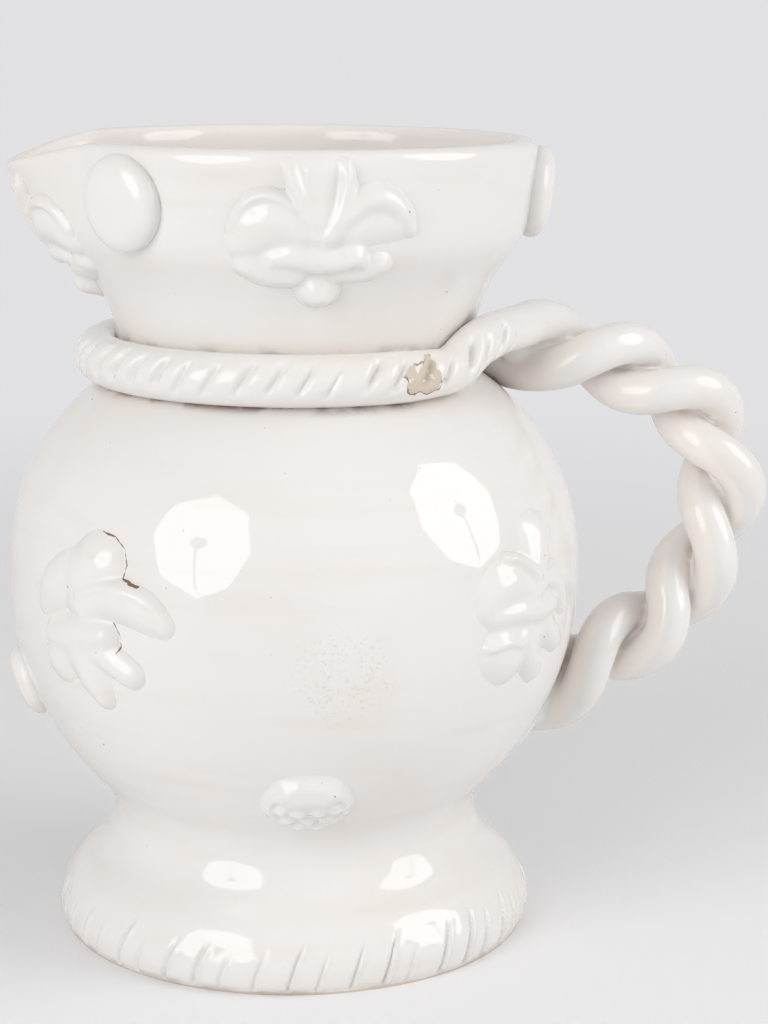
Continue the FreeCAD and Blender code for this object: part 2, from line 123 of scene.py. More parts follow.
def spin_round(steps, angle=math.tau):
    """Turn what is selected round the pot's axis, and close the seam and the poles of a full turn."""
    bpy.ops.mesh.spin(steps=steps, angle=angle, center=(0, 0, 0), axis=(0, 0, 1))
    bpy.ops.mesh.select_all(action="SELECT")
    if angle == math.tau:
        bpy.ops.mesh.remove_doubles(threshold=0.02 * MM)
    turn_outwards()


# %% Helpers for places on a pot
def axis_angles(places):
    """The angle of each place round the axis, in radians."""
    return np.arctan2(places[:, 1], places[:, 0])


def axis_distances(places):
    return np.hypot(places[:, 0], places[:, 1])


def widened(places, share):
    """Scale each place away from the axis by a share of its own."""
    return places * np.stack([share, share, np.ones_like(share)], axis=1)


def move_vertices(piece, move):
    """Move every vertex by a function that takes and gives millimetres."""
    flat = np.empty(len(piece.data.vertices) * 3)
    piece.data.vertices.foreach_get("co", flat)
    places = flat.reshape(-1, 3) * 1000
    piece.data.vertices.foreach_set("co", (move(places) * MM).ravel())
    piece.data.update()


# %% Helpers for choosing and finishing a piece
def pick(piece):
    """Select one piece alone and make it the active one."""
    deselect()
    bpy.context.view_layer.objects.active = piece
    piece.select_set(True)


def select_faces(piece, wanted):
    """Select the faces that pass a test. Edit mode stays on."""
    bpy.ops.object.mode_set(mode="EDIT")
    bpy.ops.mesh.select_all(action="DESELECT")
    bpy.ops.object.mode_set(mode="OBJECT")
    for polygon in piece.data.polygons:
        polygon.select = wanted(polygon)
    bpy.ops.object.mode_set(mode="EDIT")


def finish_piece(piece, node_names):
    """Shade a piece smooth, hang it on the root, hide the CAD nodes that it replaces, and measure it.
    """
    pick(piece)
    bpy.ops.object.shade_smooth()
    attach(piece, "root")
    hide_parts(*node_names)
    triangles = sum(len(polygon.vertices) - 2 for polygon in piece.data.polygons)
    sides = [round(side * 1000, 1) for side in piece.dimensions]
    print(piece.name, "has", triangles, "triangles and measures", sides, "mm")

# %% [markdown]
# ## The globe and its foot
#
# The potter throws the globe and the flared foot apart and joins them, and the glaze hides the
# join. Here both are one outline: along the underside, round the foot's edge, up the flare, over
# the globe to the mouth, and back down the inner wall. Arcs give the globe its true round, and
# averaging neighbouring points softens the waist as a wet thumb does.

# %% Arcs of the globe
BELLY_RADIUS = 91.8
BELT_LOW, BELT_HIGH = 115.0, 121.0
SHOULDER_ROUND = 70.5
BELLY_WALL = 5.5
NECK_BASE = 182.0
NECK_WALL = 5.6
SHOULDER_MIDDLE = BELLY_RADIUS - SHOULDER_ROUND


def belly_radius_at(height):
    """The globe's outer radius at a height, all in millimetres."""
    if height > BELT_HIGH:
        return SHOULDER_MIDDLE + math.sqrt(SHOULDER_ROUND ** 2 - (height - BELT_HIGH) ** 2)
    return math.sqrt(BELLY_RADIUS ** 2 - max(0.0, BELT_LOW - height) ** 2)


def ball_points(inset, first_degrees, last_degrees, step):
    """Points of the globe's lower ball, from an angle below the level to another."""
    radius = BELLY_RADIUS - inset
    angles = np.radians(np.arange(first_degrees, last_degrees, step))
    return half_section((radius * math.cos(a), BELT_LOW + radius * math.sin(a)) for a in angles)


def shoulder_points(inset, top_radius, step):
    """Points of the upper shoulder, from the belt to the radius of the mouth's base."""
    radius = SHOULDER_ROUND - inset
    top = math.acos((top_radius - SHOULDER_MIDDLE) / radius)
    angles = np.linspace(0, top, int(top / math.radians(step)) + 1)
    return half_section((SHOULDER_MIDDLE + radius * math.cos(a), BELT_HIGH + radius * math.sin(a))
                        for a in angles)


print("The shoulder's arc turns round", round(SHOULDER_MIDDLE, 1), "mm from the axis")


# %% Runs of points, and how they are softened
def run(corners, spacing):
    """Evenly spaced points along a row of corners, without the last one."""
    points = []
    for start, end in zip(corners, corners[1:]):
        count = max(1, round((end - start).length / spacing))
        points += [start.lerp(end, number / count) for number in range(count)]
    return points


def softened(points, low, high, rounds):
    """Average each point with its neighbours, only between two heights."""
    points = [point.copy() for point in points]
    for _ in range(rounds):
        middles = [(a + b * 2 + c) / 4 for a, b, c in zip(points, points[1:], points[2:])]
        for number, middle in enumerate(middles, 1):
            if low < points[number].z < high:
                points[number] = middle
    return points


# %% Outline of the globe and foot
FOOT_EDGE = half_section([(75.0, 0), (76.7, 2.6), (77.4, 6.5), (77.0, 10.5), (75.2, 14.2)])
FLARE_TOP, WAIST = half_section([(60.2, 32.5), (57.6, 39.0)])
HOLLOW_TOP, HOLLOW_EDGE = half_section([(48.9, 37.3), (66.0, 0)])
POINT_SPACING = 1.5
FLARE_SWAY = 0.75
HOLLOW_ANGLE, FLARE_ANGLE = -57.8, -50.6
WAIST_LOW, WAIST_HIGH, WAIST_ROUNDS = 20, 60, 14
BODY_STEPS = 240
mouth_base_radius = belly_radius_at(NECK_BASE)


def swayed(points):
    """Give the flare a slow S: fuller above the foot's edge, hollower under the waist."""
    low, high = FOOT_EDGE[-1], FLARE_TOP
    outward = Vector((high.z - low.z, 0, low.x - high.x)).normalized()
    moved = []
    for point in points:
        share = (point.z - low.z) / (high.z - low.z)
        push = FLARE_SWAY * math.sin(math.tau * share) if 0 < share < 1 else 0
        moved.append(point + outward * push)
    return moved


def body_outline():
    """Underside in the foot's hollow, foot, flare, globe, and back down the inner wall."""
    underside = ball_points(0, -90, HOLLOW_ANGLE, 2.5)
    foot = run([HOLLOW_TOP, HOLLOW_EDGE], 4) + run([HOLLOW_EDGE, FOOT_EDGE[0]], 3) + run(FOOT_EDGE, 1.2)
    flare = run([FOOT_EDGE[-1], FLARE_TOP, WAIST], POINT_SPACING)
    outside = flare + ball_points(0, FLARE_ANGLE, 0, 1) + shoulder_points(0, mouth_base_radius, 1.3)
    outside = swayed(softened(outside, WAIST_LOW, WAIST_HIGH, WAIST_ROUNDS))
    inner_top = mouth_base_radius - NECK_WALL
    inside = (ball_points(BELLY_WALL, -90, 0, 2.5) + shoulder_points(BELLY_WALL, inner_top, 2.5)
              + half_section([(inner_top, NECK_BASE)]))
    return underside + softened(foot, 0.5, 12, 3) + outside + inside[::-1]


draw_line(body_outline())
spin_round(BODY_STEPS)
body = end_edit("thrown_body")
print("The body's outline has", len(body_outline()), "points")

# %% [markdown]
# ## A hand-thrown wall
#
# No thrown wall is a perfect round: fingers leave slow waves. A slow noise, with a quicker one on
# it, moves each point towards the axis by a few tenths of a millimetre, more here and less there,
# so the reflections wobble as they do on a pot and the measured sizes hold.

# %% Slow waves in the wall
WAVE_DEPTH = 0.35
WAVE_LENGTH = 38.0
RIPPLE_LENGTH, RIPPLE_SHARE, RIPPLE_SHIFT = 17.0, 0.3, Vector((7, 3, 1))
STANDING_HEIGHT = 0.3


def waves(places):
    """How far the wall moves outwards at each place, in millimetres."""
    lengths = []
    for place in places:
        ripple = noise.noise(Vector(place) / RIPPLE_LENGTH + RIPPLE_SHIFT)
        lengths.append(noise.noise(Vector(place) / WAVE_LENGTH) + ripple * RIPPLE_SHARE)
    return np.array(lengths) * WAVE_DEPTH


def wavy(places):
    """Move a wall inwards, more or less by its waves, and leave the face that it stands on."""
    radius = axis_distances(places)
    share = np.where(radius > 1, 1 + (waves(places) - WAVE_DEPTH) / np.maximum(radius, 1), 1)
    share = np.where(places[:, 2] < STANDING_HEIGHT, 1, share)
    return widened(places, share)


move_vertices(body, wavy)
print("Waved", len(body.data.vertices), "points round a mean depth of", WAVE_DEPTH, "mm")

# %% [markdown]
# ## Scratches round the foot
#
# The potter pressed a tool into the foot's edge all the way round, leaning each stroke a little,
# and each stroke raised a burr on one side. The faces of that edge are cut finer first, and then
# their points move in along each stroke and out along its burr.

# %% Scratches in the foot's edge
NOTCHES = 48
NOTCH_TOP = 14.5
NOTCH_DEPTH, NOTCH_WIDTH = 0.9, 0.6
NOTCH_LEAN, NOTCH_BEND = 0.16, 0.012
NOTCH_WANDER, NOTCH_UNEVEN = 3.0, 6.0
BURR_SHARE, BURR_AWAY, BURR_WIDTH = 0.55, 1.3, 0.75
EDGE_RADIUS, EDGE_INSIDE, EDGE_TOP = 77.0, 73, 17
FACING_DOWN = -0.7


def is_foot_edge(polygon):
    middle = polygon.center
    low_outside = middle.z < EDGE_TOP * MM and middle.xy.length > EDGE_INSIDE * MM
    return low_outside and polygon.normal.z > FACING_DOWN


def cut_edge_finer(piece, cuts):
    pick(piece)
    select_faces(piece, is_foot_edge)
    bpy.ops.mesh.subdivide(number_cuts=cuts, smoothness=0)
    end_edit(piece.name)


def scratched(places):
    """Press one leaning groove per notch, with a burr beside it."""
    radius, height = axis_distances(places), places[:, 2]
    spacing = math.tau * EDGE_RADIUS / NOTCHES
    along = axis_angles(places) * EDGE_RADIUS - height * NOTCH_LEAN - NOTCH_BEND * height ** 2
    number = np.round(along / spacing)
    own = np.array([noise.noise(Vector((n * 1.7, 3.3, 0.5))) for n in np.mod(number, NOTCHES)])
    away = along - number * spacing - own * NOTCH_WANDER
    top = NOTCH_TOP + own * NOTCH_UNEVEN
    fade = np.clip((top - height) / 4.0, 0, 1) * np.clip((height - 0.6) / 1.5, 0, 1)
    burr = BURR_SHARE * np.exp(-((away - BURR_AWAY) / BURR_WIDTH) ** 2)
    groove = np.exp(-(away / NOTCH_WIDTH) ** 2) - burr
    press = NOTCH_DEPTH * (1 + own) * fade * groove * (radius > EDGE_INSIDE - 1)
    return widened(places, 1 - press / radius.clip(1))


cut_edge_finer(body, 2)
move_vertices(body, scratched)
finish_piece(body, ["foot", "belly"])

# %% [markdown]
# ## The mouth
#
# The mouth is a tall collar that flares from the throat and stands nearly upright to a thick rim.
# Its outline is spun like the globe's, and then the wall is pulled out and down at the front of
# the pot, where two fingers pinch the wet rim into a spout.

# %% Outline of the mouth
RIM_HEIGHT = 255.0
THROAT_HEIGHT = 200.0
SPOUT_REACH, SPOUT_DROOP = 15.0, 7.5
SPOUT_HALF_ANGLE = 34.0
SPOUT_CURL = 1.5
RIM_SPACING, SIDE_SPACING = 1.0, 1.6
MOUTH_STEPS = 288
MOUTH_SIDE = half_section([(mouth_base_radius, 182.0), (56.7, 191.0), (58.2, 200.0), (62.2, 210.5),
                           (73.4, 225.0), (74.6, 236.0), (76.2, 250.0)])
RIM_ROUND = half_section([(76.4, 252.0), (75.6, 254.0), (73.3, 254.9), (71.0, 254.0), (70.0, 251.5)])
MOUTH_INSIDE = half_section([(69.4, 236.0), (68.2, 228.0), (56.4, 211.0), (52.6, 200.0),
                             (51.1, 191.0), (mouth_base_radius - NECK_WALL, 182.0)])


def mouth_outline():
    """Outer side, rim and inner side, softened so that no corner is left."""
    rim = MOUTH_SIDE[-1:] + RIM_ROUND + MOUTH_INSIDE[:1]
    points = run(MOUTH_SIDE, SIDE_SPACING) + run(rim, RIM_SPACING) + run(MOUTH_INSIDE, SIDE_SPACING)
    points = softened(points + MOUTH_INSIDE[-1:], 183, 248, 14)
    return softened(points, 247.9, 300, 2)


def mouth_profile():
    """Radius and height of the outer side only, from the base to the rim."""
    points = mouth_outline()
    top = max(range(len(points)), key=lambda number: points[number].z)
    side = points[:top]
    return np.array([point.z for point in side]), np.array([point.x for point in side])


mouth_heights, mouth_radii = mouth_profile()
print("The mouth's side rises from", mouth_heights[0], "to", round(mouth_heights[-1], 1), "mm")


# %% The mouth, spun and pinched
def spout_pull(places):
    """Pull the mouth's wall outwards and down round the middle of the spout."""
    away = np.abs(np.mod(np.degrees(axis_angles(places)), 360) - 180)
    share = np.where(away < SPOUT_HALF_ANGLE, 0.5 + 0.5 * np.cos(np.pi * away / SPOUT_HALF_ANGLE), 0)
    rise = np.maximum(0, (places[:, 2] - THROAT_HEIGHT) / (RIM_HEIGHT - THROAT_HEIGHT))
    pulled = widened(places, 1 + SPOUT_REACH * share * rise ** SPOUT_CURL / axis_distances(places))
    pulled[:, 2] -= SPOUT_DROOP * share * rise ** 2
    return pulled


draw_line(mouth_outline() + mouth_outline()[:1])
spin_round(MOUTH_STEPS)
mouth = end_edit("mouth")
move_vertices(mouth, spout_pull)
move_vertices(mouth, wavy)
finish_piece(mouth, ["neck"])

# %% [markdown]
# ## The coil: one collar and two strands
#
# A long roll of clay is wound round the join and its two ends are twisted together into the
# handle. The CAD model has it as three rolls. Joined and remeshed they become one skin, as clay
# does, and a little smoothing melts the creases like glaze. The collar comes first: a disc spun
# most of the way round the throat, and thinned at both ends to the thickness of the strands.

# %% Collar roll
RING_RADIUS, RING_HEIGHT, ROLL_RADIUS = 62.0, 186.6, 7.9
RING_START, RING_TURN = -50.0, 275.0
RING_END = RING_START - RING_TURN + 360
STRAND_RADIUS = 7.2
TAPER_DEGREES = 14
ROLL_SIDES, ROLL_STEPS = 40, 150


def make_roll():
    """The collar: a filled circle turned most of the way round the throat."""
    deselect()
    bpy.ops.mesh.primitive_circle_add(vertices=ROLL_SIDES, radius=ROLL_RADIUS * MM, fill_type="NGON")
    start_edit()
    bpy.ops.transform.rotate(value=math.pi / 2, orient_axis="X", center_override=(0, 0, 0))
    bpy.ops.transform.translate(value=Vector((RING_RADIUS, 0, RING_HEIGHT)) * MM)
    bpy.ops.transform.rotate(value=-math.radians(RING_START), orient_axis="Z",
                             center_override=(0, 0, 0))
    spin_round(ROLL_STEPS, math.radians(RING_TURN))
    return end_edit("roll")


def tapered(places):
    """Narrow the roll to the strands' thickness at both ends."""
    angle = np.degrees(axis_angles(places))
    ends = np.minimum(np.abs(angle - RING_START), np.abs(angle - RING_END))
    size = 1 - (1 - STRAND_RADIUS / ROLL_RADIUS) * np.clip(1 - ends / TAPER_DEGREES, 0, 1)
    radius = axis_distances(places)
    thinned = widened(places, (RING_RADIUS + (radius - RING_RADIUS) * size) / radius)
    thinned[:, 2] = RING_HEIGHT + (places[:, 2] - RING_HEIGHT) * size
    return thinned


roll = make_roll()
move_vertices(roll, tapered)
print("The collar runs from", RING_START, "to", RING_END, "degrees the long way round")

# %% Lumps of clay between the rolls
# Each has a place, its half sizes and a tilt: two where the strands part, and the tail on the globe
LUMPS = [((77.5, 0.0, 187.7), (6.0, 4.0, 4.0), 0), ((71.5, 0.0, 186.4), (6.0, 4.0, 4.0), 0),
         ((80.5, 1.5, 67.0), (4.6, 8.0, 17.0), 40)]


def make_lump(place, sizes, tilt_degrees):
    """A pressed lump of clay, as a stretched ball tilted in the handle's plane."""
    deselect()
    bpy.ops.mesh.primitive_uv_sphere_add(segments=32, ring_count=16, radius=MM)
    start_edit()
    bpy.ops.transform.resize(value=sizes)
    lump = end_edit("lump")

    def tilt_and_place(places):
        tilt = math.radians(tilt_degrees)
        across, up = places[:, 0].copy(), places[:, 2].copy()
        places[:, 0] = across * math.cos(tilt) + up * math.sin(tilt) + place[0]
        places[:, 2] = up * math.cos(tilt) - across * math.sin(tilt) + place[2]
        places[:, 1] += place[1]
        return places

    move_vertices(lump, tilt_and_place)
    return lump


lumps = [make_lump(*lump) for lump in LUMPS]
print("Lumps of clay", len(lumps))


# %% All rolls as one skin
def copies_of(node_names):
    deselect()
    for name in node_names:
        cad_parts[name].select_set(True)
    bpy.context.view_layer.objects.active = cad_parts[node_names[0]]
    bpy.ops.object.duplicate()
    return list(bpy.context.selected_objects)


def add_modifier(piece, kind, **settings):
    modifier = piece.modifiers.new(kind.lower(), kind)
    for name, value in settings.items():
        setattr(modifier, name, value)
    bpy.ops.object.modifier_apply(modifier=modifier.name)


STRANDS = ["handle_strand_front", "handle_strand_back"]
SKIN_VOXEL = 0.8
SKIN_SMOOTHING = 8

strands = copies_of(STRANDS)
for strand in strands:
    pick(strand)
    start_edit()
    bpy.ops.mesh.remove_doubles(threshold=0.01 * MM)
    bpy.ops.object.mode_set(mode="OBJECT")
pick(roll)
for part in lumps + strands:
    part.select_set(True)
bpy.ops.object.join()
coil = bpy.context.object
coil.name = "coil"
add_modifier(coil, "REMESH", mode="VOXEL", voxel_size=SKIN_VOXEL * MM)
add_modifier(coil, "SMOOTH", factor=0.5, iterations=SKIN_SMOOTHING)
print("The coil's skin has", len(coil.data.polygons), "faces")

# %% [markdown]
# ## Dents in the collar
#
# The potter pressed a slanting row of dents into the collar with a finger or a stick. Each point of
# the skin is measured round the roll and along it, and moves towards the roll's middle where a dent
# is near. The row follows the collar where it climbs to the handle, and fades out there.

# %% Pressing the dents
# Where the front end of the collar climbs to the handle: angle, radius and height of its middle
FRONT_RISE = [(-50, RING_RADIUS, RING_HEIGHT), (-30, 63.4, 193.7), (-15, 67.8, 195.2),
              (-14, RING_RADIUS, RING_HEIGHT)]
DENT_SPACING, DENT_LEAN, DENT_WANDER = 9.6, 4.2, 3.0
DENT_DEPTH = 2.0
DENT_WIDTH, DENT_UNEVEN = 1.35, 0.8
DENT_MIDDLE, DENT_LENGTH = 0.2, 0.62
FRONT_DENT_END, BACK_DENT_END, DENT_FADE = -21, 38, 7


def dented(places):
    """Press short slanting dents into the collar, fading where the handle begins."""
    angle, radius = np.degrees(axis_angles(places)), axis_distances(places)
    turned, ring, level = np.array(FRONT_RISE).T
    out = radius - np.interp(angle, turned, ring)
    up = places[:, 2] - np.interp(angle, turned, level)
    round_angle = np.arctan2(up, out)
    along = np.radians(np.mod(angle, 360)) * (RING_RADIUS + ROLL_RADIUS) - DENT_LEAN * round_angle
    number = np.round(along / DENT_SPACING)
    own = np.array([noise.noise(Vector((n * 2.3, 0.7, 0.1))) for n in number])
    away = along - number * DENT_SPACING - own * DENT_WANDER
    dent = np.exp(-(away / (DENT_WIDTH + DENT_UNEVEN * own)) ** 2)
    middle = np.exp(-((round_angle - DENT_MIDDLE - own * 0.5) / DENT_LENGTH) ** 4)
    past_end = np.where(angle < 0, FRONT_DENT_END - angle, angle - BACK_DENT_END)
    fade = np.clip(past_end / DENT_FADE, 0, 1)
    near = np.clip((ROLL_RADIUS + 2 - np.hypot(out, up)) / 1.5, 0, 1)
    share = -DENT_DEPTH * (1 + own) * fade * near * middle * dent / np.maximum(np.hypot(out, up), 1)
    outward = places[:, :2] / radius[:, None]
    moved = places.copy()
    moved[:, :2] += outward * (out * share)[:, None]
    moved[:, 2] += up * share
    return moved


move_vertices(coil, dented)
finish_piece(coil, ["neck_rope"] + STRANDS)

# %% [markdown]
# ## Sprigs: the moulded ornaments
#
# A sprig is a thin slip of clay pressed in a mould and stuck on the wall. It has no undercuts, so
# it is a relief: a height over a flat piece. A fine grid is lifted by strokes, each a rounded
# ridge along a short line, and the strokes melt into each other. Where there is no clay the grid
# is deleted, and what is left gets a back and is laid on the curved wall.

# %% Pressing a relief
GRID_STEP = 0.5
MELT = 4.0
SOFT_MELT = 2.4
FULLNESS = 1.2
STROKE_ROUNDING = 1.3
LEAST_RELIEF = 0.25
TOP_FADE = 5.0
SPRIG_SMOOTHING = 5
SUNK = 0.55
BACK = 1.6


def rounded_stroke(stroke):
    """Cut the corners of a stroke twice, so that it runs in a curve."""
    points = [np.array(point, float) for point in stroke]
    for _ in range(2):
        cut = [points[0]]
        for before, after in zip(points, points[1:]):
            cut += [before * 0.75 + after * 0.25, before * 0.25 + after * 0.75]
        points = cut + [points[-1]]
    return points


def stroke_height(x, y, stroke):
    """A ridge along a line of points, each with across, up, half width and height."""
    height = np.zeros_like(x)
    stroke = rounded_stroke(stroke)
    for (x0, y0, w0, h0), (x1, y1, w1, h1) in zip(stroke, stroke[1:]):
        dx, dy = x1 - x0, y1 - y0
        share = np.clip(((x - x0) * dx + (y - y0) * dy) / (dx * dx + dy * dy), 0, 1)
        away = np.hypot(x - x0 - dx * share, y - y0 - dy * share)
        width = (w0 + (w1 - w0) * share) * FULLNESS
        round_share = np.clip(1 - (away / width) ** 2, 0, 1)
        height = np.maximum(height, (h0 + (h1 - h0) * share) * round_share ** STROKE_ROUNDING)
    return height


def relief(x, y, strokes, top, melt):
    """All strokes melted together, fading out under the top edge."""
    melted = sum(stroke_height(x, y, stroke) ** melt for stroke in strokes)
    return melted ** (1 / melt) * np.clip((top - y) / TOP_FADE, 0, 1)


def press_sprig(name, strokes, width, rise, top=99.0, melt=MELT):
    """Lift a grid by its strokes, keep the clay and give it a back."""
    deselect()
    bpy.ops.mesh.primitive_grid_add(x_subdivisions=round(width / GRID_STEP),
                                    y_subdivisions=round(rise / GRID_STEP), size=MM)
    start_edit()
    bpy.ops.transform.resize(value=(width, rise, 1))
    sprig = end_edit(name)

    def lift(places):
        places[:, 2] = relief(places[:, 0], places[:, 1], strokes, top, melt)
        return places

    move_vertices(sprig, lift)
    select_faces(sprig, lambda polygon: polygon.center.z < LEAST_RELIEF * MM)
    bpy.ops.mesh.delete(type="FACE")
    bpy.ops.mesh.select_all(action="SELECT")
    bpy.ops.mesh.vertices_smooth(factor=0.5, repeat=SPRIG_SMOOTHING)
    bpy.ops.mesh.extrude_region_move(TRANSFORM_OT_translate={"value": (0, 0, 0)})
    bpy.ops.transform.resize(value=(1, 1, 0), center_override=(0, 0, 0))
    bpy.ops.transform.translate(value=(0, 0, -BACK * MM))
    turn_outwards()
    return end_edit(name)


# %% Laying a piece on a wall
belly_heights = np.arange(30.0, 180.0, 0.5)
BELLY_LINE = (belly_heights, np.array([belly_radius_at(height) for height in belly_heights]))
MOUTH_LINE = (mouth_heights, mouth_radii)


def wall_places(line, height, degrees, across, up):
    """Places on a wall: along its curve upwards, and round it sideways."""
    heights, radii = line
    steps = np.hypot(np.diff(heights), np.diff(radii))
    climbed = np.concatenate([[0], np.cumsum(steps)])
    start = np.interp(height, heights, climbed)
    reached = np.interp(start + up, climbed, heights)
    beyond = np.maximum(0, start + up - climbed[-1])
    radius = np.interp(reached, heights, radii)
    angle = np.radians(degrees) + across / radius
    places = np.stack([radius * np.cos(angle), radius * np.sin(angle), reached + beyond], axis=1)
    return spout_pull(places) if line is MOUTH_LINE else places


def lay_on_wall(piece, line, height, degrees):
    """Bend a flat piece onto a wall, a little sunk in it."""
    def bend(places):
        across, up, lift = places[:, 0], places[:, 1], places[:, 2]
        here = wall_places(line, height, degrees, across, up)
        right = wall_places(line, height, degrees, across + 0.5, up) - here
        above = here - wall_places(line, height, degrees, across, up - 0.5)
        normal = np.cross(right, above)
        normal /= np.linalg.norm(normal, axis=1)[:, None]
        return wavy(here) + normal * (lift - SUNK)[:, None]

    move_vertices(piece, bend)
    return piece


print("Sprigs lie", SUNK, "mm deep in the wall and reach", BACK, "mm back")

# %% [markdown]
# ## Fleurs on the mouth and the globe
#
# A fleur has an upright leaf, two wings that curl down, a band that ties them, and short petals
# and a knob below the band. Each leaf is a stroke or two, with a thin border where the mould left
# one. A stroke is a row of points, each with across, up, half width and height in millimetres. The
# mouth's fleur and the two of the globe have tables of their own, because no two sprigs came out
# of the mould quite alike, and those on the far sides are copies of them or turned over.

# %% Strokes of the fleurs
MOUTH_FLEUR = [
    [(-1.6, 22.5, 7.0, 2.4), (-1.4, 16, 7.4, 3.0), (-0.8, 8, 5.8, 3.1), (-0.2, 0, 3.8, 3.2),
     (0, -4, 3.6, 3.2)],
    [(-10.2, 24, 2.4, 2.6), (-8.2, 18, 2.9, 4.0), (-5.4, 10, 2.9, 4.1), (-2, 1, 2.5, 3.6)],
    [(6.0, 24, 2.4, 2.6), (7.4, 17, 3.0, 4.2), (5.6, 9, 2.9, 4.2), (1.2, 1, 2.5, 3.6)],
    [(-6, 2, 5.0, 3.5), (-12, 5.5, 8.2, 4.1), (-18.5, 4.5, 8.8, 3.8), (-22.5, -0.5, 5.8, 2.8)],
    [(-8, 9.5, 2.0, 3.2), (-13, 13.2, 2.3, 3.9), (-19, 13.2, 2.3, 3.7), (-24, 9, 2.2, 3.1),
     (-26.5, 3, 1.9, 2.4)],
    [(2.5, 1, 3.2, 3.7), (7, 7.5, 4.2, 4.2), (13, 12, 4.7, 4.7), (19, 12, 4.7, 4.6),
     (24.5, 7.5, 3.9, 3.9), (27, 2.5, 2.5, 2.6)],
    [(7, 2.5, 5.4, 2.6), (15, 5.5, 7.0, 3.1), (22, 4.5, 5.4, 2.5)],
    [(-13.5, -5.4, 3.8, 3.6), (-8, -4.4, 4.8, 4.6), (-2.5, -6.2, 4.8, 4.7), (4.5, -6.6, 4.4, 4.5),
     (9.5, -4.2, 4.2, 5.0), (11.5, -6.5, 3.2, 3.8)],
    [(-21, -8.2, 4.6, 3.0), (-15, -11.0, 5.8, 3.7), (-8, -11.8, 5.2, 3.6)],
    [(5, -11, 3.8, 3.0), (12, -11.2, 4.4, 3.3), (17.5, -8.2, 4.4, 3.1)],
    [(-0.2, -17.4, 6.3, 6.2), (0.0, -17.5, 6.3, 6.2)],
]
GLOBE_FLEUR_LEFT = [
    [(0, 16.5, 9.4, 4.7), (-3.4, 12, 9.8, 4.4), (-5, 5, 7.4, 3.8)],
    [(-8, 14, 6.8, 2.8), (-15, 9, 8.2, 3.0), (-21, 5, 7.0, 2.7), (-25, 0, 3.6, 1.8)],
    [(-3, 2.5, 4.8, 3.7), (4, 6.5, 5.8, 4.5), (12, 6.6, 6.4, 4.6), (19, 4.2, 6.2, 4.1),
     (24.6, 0.6, 3.8, 2.9)],
    [(-4, 7.0, 2.4, 4.2), (3, 10.2, 2.6, 4.9), (12, 10.6, 2.6, 4.8), (20.5, 8.2, 2.3, 4.0),
     (26, 2.2, 1.9, 2.6)],
    [(-19, -8, 5.0, 3.3), (-11, -7.2, 6.0, 4.4), (-3, -4.4, 6.2, 5.3), (3.8, -4.8, 5.0, 4.8)],
    [(-12, -9, 7.4, 3.0), (-17, -15.2, 8.0, 3.3)],
    [(-6, -10, 8.0, 3.6), (-3, -18, 7.0, 3.8), (0.8, -24.6, 4.4, 3.1)],
    [(0, -9, 5.2, 3.5), (7, -12.4, 5.2, 4.2), (12.6, -15.4, 4.8, 3.8)],
]
GLOBE_FLEUR_RIGHT = [
    [(8, 20, 9.0, 4.2), (5, 12, 8.4, 4.5), (2, 5, 5.4, 4.1)],
    [(-1, 6, 5.0, 4.0), (-7, 9.5, 8.2, 4.5), (-13, 8, 7.8, 4.0), (-16, 3, 5.0, 2.8)],
    [(3, 10, 2.2, 4.9), (-2, 15, 2.3, 4.6), (-8, 17, 2.2, 4.2)],
    [(4, 6, 4.4, 3.9), (12, 9, 5.4, 4.0), (19, 5, 5.4, 3.6), (24, -3, 3.6, 2.7)],
    [(-13, 0, 4.6, 3.4), (-4, 0.6, 5.2, 4.7), (4, -1, 5.4, 5.0), (14, -1, 4.4, 3.6)],
    [(-10, -7, 6.0, 2.7), (5, -8, 6.0, 2.7)],
    [(-10.5, -12, 8.0, 3.5), (-7.5, -14, 8.2, 3.7)],
    [(-16, -9.0, 2.3, 3.8), (-10, -7.4, 2.6, 4.6), (-4, -9.4, 2.4, 4.0)],
    [(0, -9, 6.0, 3.6), (5, -16, 6.4, 3.7), (8, -20.4, 4.8, 3.1)],
    [(12, -7.6, 5.4, 3.6), (18, -11.6, 5.2, 3.3), (21, -14, 4.2, 2.7)],
]


# %% Pressing and laying the fleurs
def turned_over(strokes):
    return [[(-across, *rest) for across, *rest in stroke] for stroke in strokes]


MOUTH_FLEURS = {"front": (MOUTH_FLEUR, 229.0, -89), "spout": (turned_over(MOUTH_FLEUR), 225.5, 180),
                "back": (MOUTH_FLEUR, 229.0, 89)}
GLOBE_FLEURS = {"front_left": (GLOBE_FLEUR_LEFT, -135), "front_right": (GLOBE_FLEUR_RIGHT, -46),
                "back_left": (turned_over(GLOBE_FLEUR_LEFT), 135),
                "back_right": (turned_over(GLOBE_FLEUR_RIGHT), 46)}
GLOBE_FLEUR_HEIGHT = 117.0
FLEUR_SIZE = (64.0, 64.0)
MOUTH_FLEUR_TOP = 25.4

sprigs = []


def add_sprig(name, node_name, place, strokes, *size, **settings):
    """Press a sprig, lay it at its place on a wall and finish it."""
    sprig = lay_on_wall(press_sprig(name, strokes, *size, **settings), *place)
    finish_piece(sprig, [node_name])
    sprigs.append(sprig)


for name, (strokes, height, degrees) in MOUTH_FLEURS.items():
    add_sprig("fleur_mouth_" + name, "neck_fleur_" + name, (MOUTH_LINE, height, degrees), strokes,
              *FLEUR_SIZE, MOUTH_FLEUR_TOP)
for name, (strokes, degrees) in GLOBE_FLEURS.items():
    add_sprig("fleur_globe_" + name, "belly_fleur_" + name, (BELLY_LINE, GLOBE_FLEUR_HEIGHT, degrees),
              strokes, *FLEUR_SIZE)

# %% [markdown]
# ## Buttons and raspberries
#
# The buttons are flat rounds of clay pressed on with a thumb, thick and soft at the edge. A
# raspberry is an oval pad with a raised border, smooth above and beaded below.

